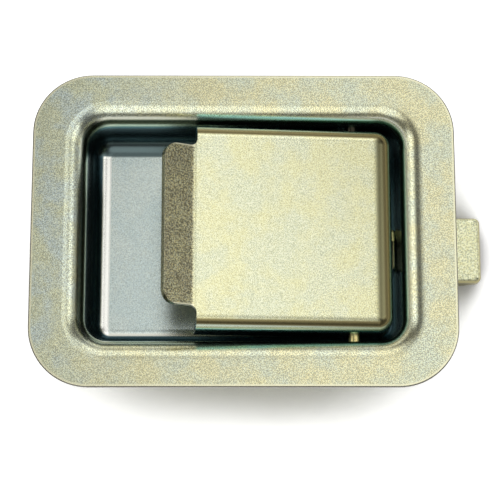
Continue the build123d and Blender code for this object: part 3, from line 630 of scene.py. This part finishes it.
# %% Bolt finish
PIT_COLOUR, SIDE_PAINTED_SHADE = (0.22, 0.19, 0.10, 1), (0.32, 0.29, 0.15, 1)
bolt_finish, tree, shader, bump = plated("bolt_plating", roughness=0.32, bump_mm=0.04)
gold_film = use(tree, film, (-2, 0), First=(0.90, 0.90, 0.56, 1),
                Second=(0.82, 0.84, 0.56, 1), Cloud_Scale=150.0, Speckle_Scale=1900.0,
                Speckle=0.42)
pits = use(tree, skin, (-2, 2), Scale=1500.0, Pits=0.40)
colour = blend_colours(tree, (0, 1), pits.outputs["Pit Mask"], gold_film.outputs["Color"],
                       PIT_COLOUR)
# Painted shade on the bolt's sides, from just below its front face.
bolt_side_shade = zone(tree, (-4, 4), INWARDS, 26.95, 27.5)
colour = blend_colours(tree, (1, 1), bolt_side_shade, colour, SIDE_PAINTED_SHADE)
tree.links.new(colour, shader.inputs["Base Color"])
tree.links.new(pits.outputs["Height"], bump.inputs["Height"])
nodes["bolt"].data.materials[0] = bolt_finish
print("bolt dressed in", bolt_finish.name)


# %% [markdown]
# ## The plainer steel pieces
#
# The housing, pin, rivets, rod, retainer and springs are plain plated or drawn steel.
# One function makes their finishes, because only two colours and the gloss differ. The
# pin gets one thing more: near its upper end it is darkened with painted shade.

# %% Small finishes
def small_finish(name, first, second, roughness):
    """A finish with one film, and the parts that a further step needs."""
    material, tree, shader, bump = plated(name, roughness, bump_mm=0.01)
    colour = use(tree, film, (-1, 0), First=(*first, 1), Second=(*second, 1),
                 Cloud_Scale=120.0, Speckle=0.25).outputs["Color"]
    satin = use(tree, grain, (-1, 2), Scale=3000.0, Coarse_Scale=900.0, Coarse=0.3)
    tree.links.new(colour, shader.inputs["Base Color"])
    tree.links.new(satin.outputs["Height"], bump.inputs["Height"])
    return material, tree, shader, colour


housing_finish = small_finish("housing_plating", (0.70, 0.69, 0.48), (0.60, 0.64, 0.52), 0.30)[0]
zinc_finish = small_finish("bright_zinc", (0.62, 0.63, 0.60), (0.52, 0.55, 0.56), 0.28)[0]
spring_finish = small_finish("spring_steel", (0.20, 0.20, 0.21), (0.14, 0.14, 0.15), 0.30)[0]
pin_finish, tree, shader, pin_film = small_finish(
    "pin_plating", (0.80, 0.68, 0.30), (0.70, 0.58, 0.26), 0.28)
# Painted shade over the pin's upper end.
PIN_END_PAINTED_SHADE = (0.05, 0.045, 0.03, 1)
shaded_end = zone(tree, (-3, 4), (0, 1, 0), 24, 28)
shaded_pin_film = blend_colours(tree, (1, 1), shaded_end, pin_film, PIN_END_PAINTED_SHADE)
tree.links.new(shaded_pin_film, shader.inputs["Base Color"])
for name, finish in (("bolt_housing", housing_finish), ("pivot_pin", pin_finish),
                     ("housing_rivets", zinc_finish), ("spring_guide_rod", zinc_finish),
                     ("pin_retainer", spring_finish)):
    nodes[name].data.materials[0] = finish
print("finishes:", [m.name for m in bpy.data.materials if m.users])

# %% [markdown]
# ## The threaded studs
#
# The CAD studs are plain bars. The real ones carry a thread. A Screw modifier on a
# profile could cut it. But a thread is a rule: the radius goes in and out with height
# and with the angle round the stud. So Geometry Nodes move the points of one cylinder,
# put it on the four corners of a grid, and make the copies real.

# %% Helpers for Geometry Nodes
KINDS.update({"shape": "NodeSocketGeometry", "count": "NodeSocketInt",
              "finish": "NodeSocketMaterial"})


def new_maker(name, takes):
    """A Geometry Nodes tree with named inputs, and the socket identifier of each."""
    tree = bpy.data.node_groups.new(name, "GeometryNodeTree")
    tree.interface.new_socket(name="Geometry", in_out="INPUT", socket_type=KINDS["shape"])
    names = {}
    for label, what in takes:
        socket = tree.interface.new_socket(name=label, in_out="INPUT", socket_type=KINDS[what])
        names[label] = socket.identifier
    tree.interface.new_socket(name="Geometry", in_out="OUTPUT", socket_type=KINDS["shape"])
    return tree, names, tree.nodes.new("NodeGroupInput"), tree.nodes.new("NodeGroupOutput")


def end_maker(tree, at, shape, take, give):
    """The end of every tree: the copies made real, and their finish set."""
    real = add(tree, "GeometryNodeRealizeInstances", at)
    dress = add(tree, "GeometryNodeSetMaterial", (at[0] + 1, at[1]))
    tree.links.new(shape, real.inputs[0])
    tree.links.new(real.outputs[0], dress.inputs["Geometry"])
    tree.links.new(take.outputs["Finish"], dress.inputs["Material"])
    tree.links.new(dress.outputs[0], give.inputs[0])


def made_by(tree, names, source, piece_name, values):
    """Runs a tree on a source object and keeps its result as a plain mesh object."""
    modifier = source.modifiers.new("maker", "NODES")
    modifier.node_group = tree
    for label, value in values.items():
        modifier[names[label]] = value
    graph = bpy.context.evaluated_depsgraph_get()
    mesh = bpy.data.meshes.new_from_object(source.evaluated_get(graph))
    mesh.name = piece_name
    bpy.data.objects.remove(source)
    piece = bpy.data.objects.new(piece_name, mesh)
    bpy.context.scene.collection.objects.link(piece)
    return piece


print("helpers for Geometry Nodes are ready")

# %% Stud bar
THREAD_SIDES = 24
THREAD_ROWS = 120
stud_maker, stud_names, take, give = new_maker("threaded_studs", [
    ("Radius", "value"), ("Length", "value"), ("Pitch", "value"), ("Depth", "value"),
    ("Root", "value"), ("Tip", "value"), ("Spacing X", "value"), ("Spacing Y", "value"),
    ("Finish", "finish")])
bar = add(stud_maker, "GeometryNodeMeshCylinder", (-6, 0))
bar.inputs["Vertices"].default_value = THREAD_SIDES
bar.inputs["Side Segments"].default_value = THREAD_ROWS
stud_maker.links.new(take.outputs["Radius"], bar.inputs["Radius"])
stud_maker.links.new(take.outputs["Length"], bar.inputs["Depth"])
position = add(stud_maker, "GeometryNodeInputPosition", (-8, 2))
parts = add(stud_maker, "ShaderNodeSeparateXYZ", (-7, 2))
stud_maker.links.new(position.outputs[0], parts.inputs[0])
print("a stud has", THREAD_SIDES * (THREAD_ROWS + 1), "points")

# %% [markdown]
# The cut is deepest half a pitch from the crest. It fades out near the root, where the
# stud is welded to the flange, and a small bevel takes its place at the tip.

# %% Depth of the thread
angle = calculate(stud_maker, (-6, 2), "ARCTAN2", parts.outputs["Y"], parts.outputs["X"])
turns = calculate(stud_maker, (-5, 2), "DIVIDE", angle, 2 * pi)
rows = calculate(stud_maker, (-5, 3), "DIVIDE", parts.outputs["Z"], take.outputs["Pitch"])
phase = calculate(stud_maker, (-4, 2), "SUBTRACT", rows, turns)
groove = calculate(stud_maker, (-3, 2), "PINGPONG", phase, 0.5)
groove = calculate(stud_maker, (-2, 2), "MULTIPLY", groove, 2.0)
half_length = calculate(stud_maker, (-5, 4), "MULTIPLY", take.outputs["Length"], 0.5)
from_root = calculate(stud_maker, (-4, 4), "SUBTRACT", half_length, parts.outputs["Z"])
fade = calculate(stud_maker, (-3, 4), "DIVIDE", from_root, take.outputs["Root"])
fade = calculate(stud_maker, (-2, 4), "SUBTRACT", fade, 1.0)
fade = calculate(stud_maker, (-1, 4), "MINIMUM", fade, 1.0)
fade = calculate(stud_maker, (0, 4), "MAXIMUM", fade, 0.0)
cut = calculate(stud_maker, (0, 2), "MULTIPLY", groove, take.outputs["Depth"])
cut = calculate(stud_maker, (1, 2), "MULTIPLY", cut, fade)
from_tip = calculate(stud_maker, (-4, 5), "ADD", half_length, parts.outputs["Z"])
bevel = calculate(stud_maker, (-3, 5), "SUBTRACT", take.outputs["Tip"], from_tip)
bevel = calculate(stud_maker, (-2, 5), "MAXIMUM", bevel, 0.0)
cut = calculate(stud_maker, (2, 2), "MAXIMUM", cut, bevel)
left_over = calculate(stud_maker, (3, 2), "SUBTRACT", take.outputs["Radius"], cut)
share = calculate(stud_maker, (4, 2), "DIVIDE", left_over, take.outputs["Radius"])
print("the thread takes", len(stud_maker.nodes), "nodes so far")

# %% Points moved, and four copies
moved_to = add(stud_maker, "ShaderNodeCombineXYZ", (6, 2))
for row, axis in enumerate("XY"):
    pulled_in = calculate(stud_maker, (5, 2 + row), "MULTIPLY", parts.outputs[axis], share)
    stud_maker.links.new(pulled_in, moved_to.inputs[axis])
lowered = calculate(stud_maker, (5, 4), "SUBTRACT", parts.outputs["Z"], half_length)
stud_maker.links.new(lowered, moved_to.inputs["Z"])
threaded = add(stud_maker, "GeometryNodeSetPosition", (7, 0))
stud_maker.links.new(bar.outputs["Mesh"], threaded.inputs["Geometry"])
stud_maker.links.new(moved_to.outputs[0], threaded.inputs["Position"])
grid = add(stud_maker, "GeometryNodeMeshGrid", (6, -1))
for axis in "XY":
    grid.inputs["Vertices " + axis].default_value = 2
    stud_maker.links.new(take.outputs["Spacing " + axis], grid.inputs["Size " + axis])
copies = add(stud_maker, "GeometryNodeInstanceOnPoints", (8, 0))
stud_maker.links.new(grid.outputs["Mesh"], copies.inputs["Points"])
stud_maker.links.new(threaded.outputs[0], copies.inputs["Instance"])
end_maker(stud_maker, (9, 0), copies.outputs[0], take, give)
print("threaded_studs has", len(stud_maker.nodes), "nodes")

# %% Studs
STUD_SIZES = {"Radius": 2.4, "Length": 15.9, "Pitch": 0.8, "Depth": 0.42, "Root": 1.2,
              "Tip": 0.7, "Spacing X": 103.0, "Spacing Y": 74.5}
stud_source = bpy.data.objects.new("stud_source", bpy.data.meshes.new("stud_source"))
bpy.context.scene.collection.objects.link(stud_source)
stud_values = {label: size * MM for label, size in STUD_SIZES.items()}
studs = made_by(stud_maker, stud_names, stud_source, "threaded_studs",
                {**stud_values, "Finish": zinc_finish})
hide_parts("mounting_studs")
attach(studs, "frame")
print("studs:", len(studs.data.polygons), "faces")

# %% [markdown]
# ## The springs
#
# A spring is a wire along a path. A curve with a bevel would do for one. Here Python
# gives the path's points, and one small tree turns any path into a round wire. Each
# spring is a piece of its own. In the real latch the bolt's spring flattens as the bolt
# goes back, and the two on the pin turn with the paddle. Here they keep the shape they
# are built in.

# %% Wire tree
wire_maker, wire_names, take, give = new_maker("round_wire", [
    ("Radius", "value"), ("Sides", "count"), ("Finish", "finish")])
ring = add(wire_maker, "GeometryNodeCurvePrimitiveCircle", (-1, 1), mode="RADIUS")
wire_maker.links.new(take.outputs["Radius"], ring.inputs["Radius"])
wire_maker.links.new(take.outputs["Sides"], ring.inputs["Resolution"])
tube = add(wire_maker, "GeometryNodeCurveToMesh", (0, 0))
tube.inputs["Fill Caps"].default_value = True
wire_maker.links.new(take.outputs["Geometry"], tube.inputs["Curve"])
wire_maker.links.new(ring.outputs["Curve"], tube.inputs["Profile Curve"])
smooth = add(wire_maker, "GeometryNodeSetShadeSmooth", (1, 0))
wire_maker.links.new(tube.outputs[0], smooth.inputs["Geometry"])
end_maker(wire_maker, (2, 0), smooth.outputs[0], take, give)
print("round_wire has", len(wire_maker.nodes), "nodes")

# %% Wire pieces
WIRE_SIDES = 14
STEPS_PER_TURN = 32


def wire_piece(name, points, wire_mm):
    """A round wire along points given in metres, as a plain mesh."""
    curve = bpy.data.curves.new(name + "_path", "CURVE")
    curve.dimensions = "3D"
    spline = curve.splines.new("POLY")
    spline.points.add(len(points) - 1)
    for spot, point in zip(spline.points, points):
        spot.co = (*point, 1)
    source = bpy.data.objects.new(name + "_path", curve)
    bpy.context.scene.collection.objects.link(source)
    return made_by(wire_maker, wire_names, source, name, {
        "Radius": wire_mm * MM / 2, "Sides": WIRE_SIDES, "Finish": spring_finish})


print("a turn of wire has", WIRE_SIDES * STEPS_PER_TURN, "faces")

# %% [markdown]
# The bolt's spring lies along X, round its rod, and has a flatter turn at each end.

# %% Bolt spring
SPRING_START = -13.2
SPRING_AXIS_Z = -26.0
BOLT_COIL_R = 3.7
BOLT_WIRE = 1.0
END_CLIMB = 1.6
ACTIVE = 17.2
ACTIVE_TURNS = 6


def bolt_spring_reach(turns):
    """How far the wire has gone along the spring, in millimetres, after some turns."""
    first = min(turns, 1) * END_CLIMB
    middle = max(0, min(turns - 1, ACTIVE_TURNS)) * ACTIVE / ACTIVE_TURNS
    last = max(0, turns - 1 - ACTIVE_TURNS) * END_CLIMB
    return first + middle + last


points = []
for step in range((ACTIVE_TURNS + 2) * STEPS_PER_TURN + 1):
    turns = step / STEPS_PER_TURN
    angle = turns * 2 * pi
    points.append(Vector((SPRING_START + bolt_spring_reach(turns), BOLT_COIL_R * sin(angle),
                          SPRING_AXIS_Z - BOLT_COIL_R * cos(angle))) * MM)
bolt_spring = wire_piece("bolt_spring_wire", points, BOLT_WIRE)
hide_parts("bolt_spring")
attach(bolt_spring, "frame")
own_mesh(bolt_spring)
print("bolt spring:", len(bolt_spring.data.polygons), "faces")

# %% [markdown]
# Each paddle spring stands with one leg in the pan's floor, winds round the pin, and
# ends in a leg that lies along the paddle's plate.

# %% Paddle springs
PIN_COIL_R = 2.3
PIN_COIL_PITCH = 1.45
PIN_COIL_TURNS = 3.25
PIN_COIL_OUTER_Y = 25.9
PADDLE_WIRE = 0.9
FLOOR_LEG_END_Z = -18.8
PLATE_LEG = 6.4
PLATE_LEG_RISE = 26.0


def paddle_spring_points(side):
    """Up from the floor, three turns round the pin, and out along the plate."""
    lean = radians(PADDLE_TILT - PLATE_LEG_RISE)
    last = PIN_COIL_TURNS * 2 * pi + lean
    steps = int(PIN_COIL_TURNS * STEPS_PER_TURN)
    spots = [(-PIN_COIL_R, 0, FLOOR_LEG_END_Z - PIN_Z)]
    for step in range(steps + 1):
        turned = last * step / steps
        inward = PIN_COIL_PITCH * turned / (2 * pi)
        spots.append((-PIN_COIL_R * cos(turned), inward, PIN_COIL_R * sin(turned)))
    end = spots[-1]
    spots.append((end[0] + PLATE_LEG * cos(lean), end[1], end[2] - PLATE_LEG * sin(lean)))
    return [Vector((PIN_X + x, side * (PIN_COIL_OUTER_Y - y), PIN_Z + z)) * MM
            for x, y, z in spots]


for name, side in (("upper", 1), ("lower", -1)):
    spring = wire_piece("paddle_spring_" + name + "_wire", paddle_spring_points(side),
                        PADDLE_WIRE)
    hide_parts("paddle_spring_" + name)
    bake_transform(spring)
    print(spring.name, len(spring.data.polygons), "faces")
